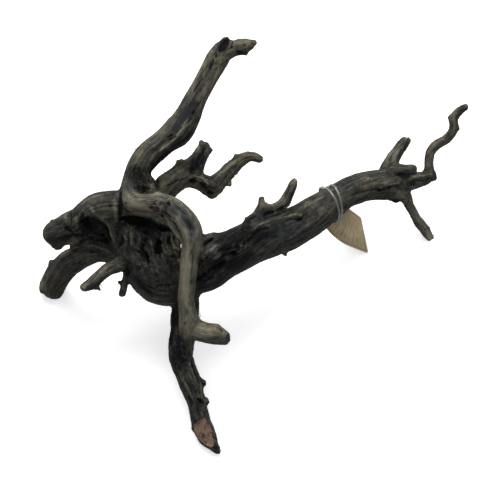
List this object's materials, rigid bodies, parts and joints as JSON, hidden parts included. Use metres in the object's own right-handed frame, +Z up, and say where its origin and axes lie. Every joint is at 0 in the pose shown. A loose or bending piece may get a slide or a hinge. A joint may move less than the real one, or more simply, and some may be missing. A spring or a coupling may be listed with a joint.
{
  "type": "aquarium driftwood",
  "caption": "Dark branching driftwood that stands on its leg, stump and twig ends, with a plain card tag held to its main branch by a clear elastic band.",
  "frame": {"origin": "bottom centre of the bounding box, on the surface that the piece stands on", "axes": "+X along the longest extent, towards the right end of the main branch; +Y to the back, where the upper limb rises; +Z up"},
  "size_m": [0.4482, 0.3662, 0.2125],
  "materials": {
    "wood": "weathered grey-brown driftwood, matte, with darker furrows and paler worn ridges",
    "card": "plain brown kraft card, matte",
    "band": "clear grey elastic, glossy"
  },
  "bodies": {
    "root": {"driftwood": "wood", "tag_card": "card", "tag_band": "band"}
  },
  "joints": []
}
